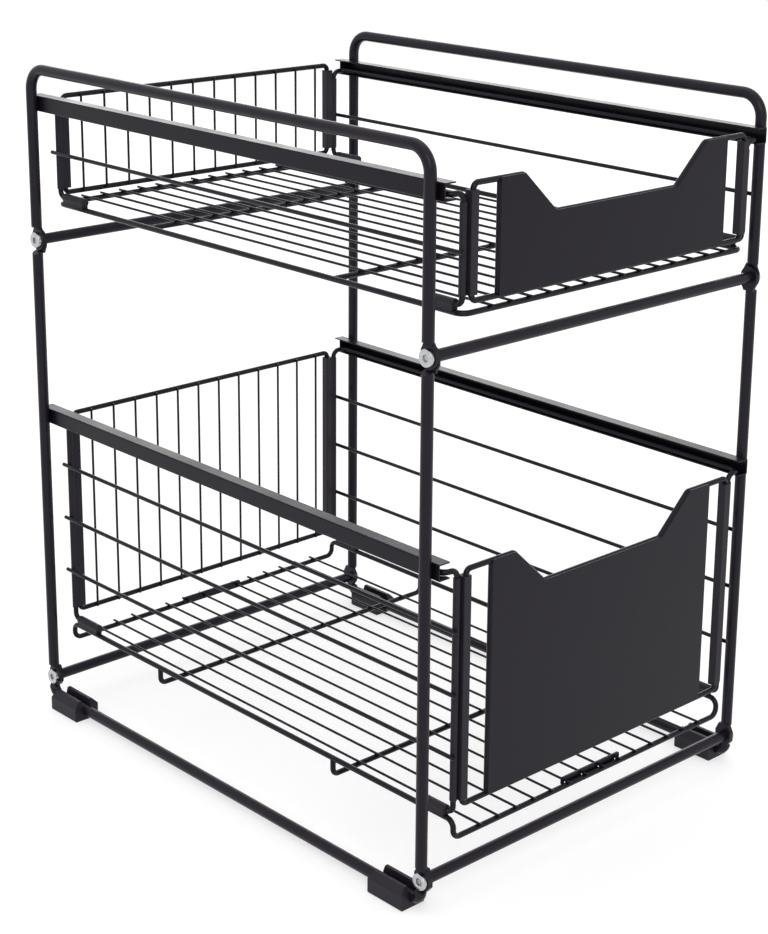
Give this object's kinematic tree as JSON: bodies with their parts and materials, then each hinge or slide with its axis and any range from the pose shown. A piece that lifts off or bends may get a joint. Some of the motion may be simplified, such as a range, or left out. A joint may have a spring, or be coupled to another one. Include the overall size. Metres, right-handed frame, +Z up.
{
  "type": "two-drawer storage shelf",
  "caption": "Narrow freestanding kitchen shelf: round-bar frame with channel guides that carry a shallow upper and a deep lower wire drawer.",
  "frame": {"origin": "on the floor, under the middle of the shelf's bounding box with both drawers closed", "axes": "+X to the right and +Y to the back as seen by someone who faces the drawer fronts, +Z up"},
  "size_m": [0.2934, 0.385, 0.4427],
  "materials": {
    "black_powder_coat": "satin black powder coat on steel bar, wire and sheet",
    "black_plastic": "fine-grained black moulded plastic",
    "zinc_plated_steel": "bright zinc-plated steel"
  },
  "bodies": {
    "shelf_frame": {"base_crossbar_back": "black_powder_coat", "base_crossbar_front": "black_powder_coat", "foot_back_left": "black_plastic", "foot_back_right": "black_plastic", "foot_front_left": "black_plastic", "foot_front_right": "black_plastic", "frame_bolts": "zinc_plated_steel", "lower_guide_left": "black_powder_coat", "lower_guide_right": "black_powder_coat", "mid_crossbar_back": "black_powder_coat", "mid_crossbar_front": "black_powder_coat", "shelf_lower_frame_left": "black_powder_coat", "shelf_lower_frame_right": "black_powder_coat", "shelf_upper_frame_left": "black_powder_coat", "shelf_upper_frame_right": "black_powder_coat", "upper_guide_left": "black_powder_coat", "upper_guide_right": "black_powder_coat"},
    "upper_drawer": {"upper_drawer_back_frame": "black_powder_coat", "upper_drawer_back_uprights": "black_powder_coat", "upper_drawer_corner_clip_back_left": "black_plastic", "upper_drawer_corner_clip_back_right": "black_plastic", "upper_drawer_corner_clip_front_left": "black_plastic", "upper_drawer_corner_clip_front_right": "black_plastic", "upper_drawer_front_frame": "black_powder_coat", "upper_drawer_front_panel": "black_powder_coat", "upper_drawer_front_stiles": "black_powder_coat", "upper_drawer_rail_clips": "black_plastic", "upper_drawer_side_frame_left": "black_powder_coat", "upper_drawer_side_frame_right": "black_powder_coat", "upper_drawer_side_wires_left": "black_powder_coat", "upper_drawer_side_wires_right": "black_powder_coat", "upper_drawer_tray_cross_wires": "black_powder_coat", "upper_drawer_tray_floor_wires": "black_powder_coat", "upper_drawer_tray_rim": "black_powder_coat"},
    "lower_drawer": {"lower_drawer_back_frame": "black_powder_coat", "lower_drawer_back_uprights": "black_powder_coat", "lower_drawer_corner_clip_back_left": "black_plastic", "lower_drawer_corner_clip_back_right": "black_plastic", "lower_drawer_corner_clip_front_left": "black_plastic", "lower_drawer_corner_clip_front_right": "black_plastic", "lower_drawer_front_frame": "black_powder_coat", "lower_drawer_front_panel": "black_powder_coat", "lower_drawer_front_stiles": "black_powder_coat", "lower_drawer_rail_clips": "black_plastic", "lower_drawer_side_frame_left": "black_powder_coat", "lower_drawer_side_frame_right": "black_powder_coat", "lower_drawer_side_wires_left": "black_powder_coat", "lower_drawer_side_wires_right": "black_powder_coat", "lower_drawer_tray_cross_wires": "black_powder_coat", "lower_drawer_tray_floor_wires": "black_powder_coat", "lower_drawer_tray_rim": "black_powder_coat", "lower_drawer_tray_tab_back": "black_powder_coat", "lower_drawer_tray_tab_front": "black_powder_coat"}
  },
  "joints": [
    {"name": "upper_drawer_slide", "type": "slide", "parent": "shelf_frame", "child": "upper_drawer", "axis": [0, -1, 0], "range_m": [0, 0.28]},
    {"name": "lower_drawer_slide", "type": "slide", "parent": "shelf_frame", "child": "lower_drawer", "axis": [0, -1, 0], "range_m": [0, 0.28]}
  ]
}
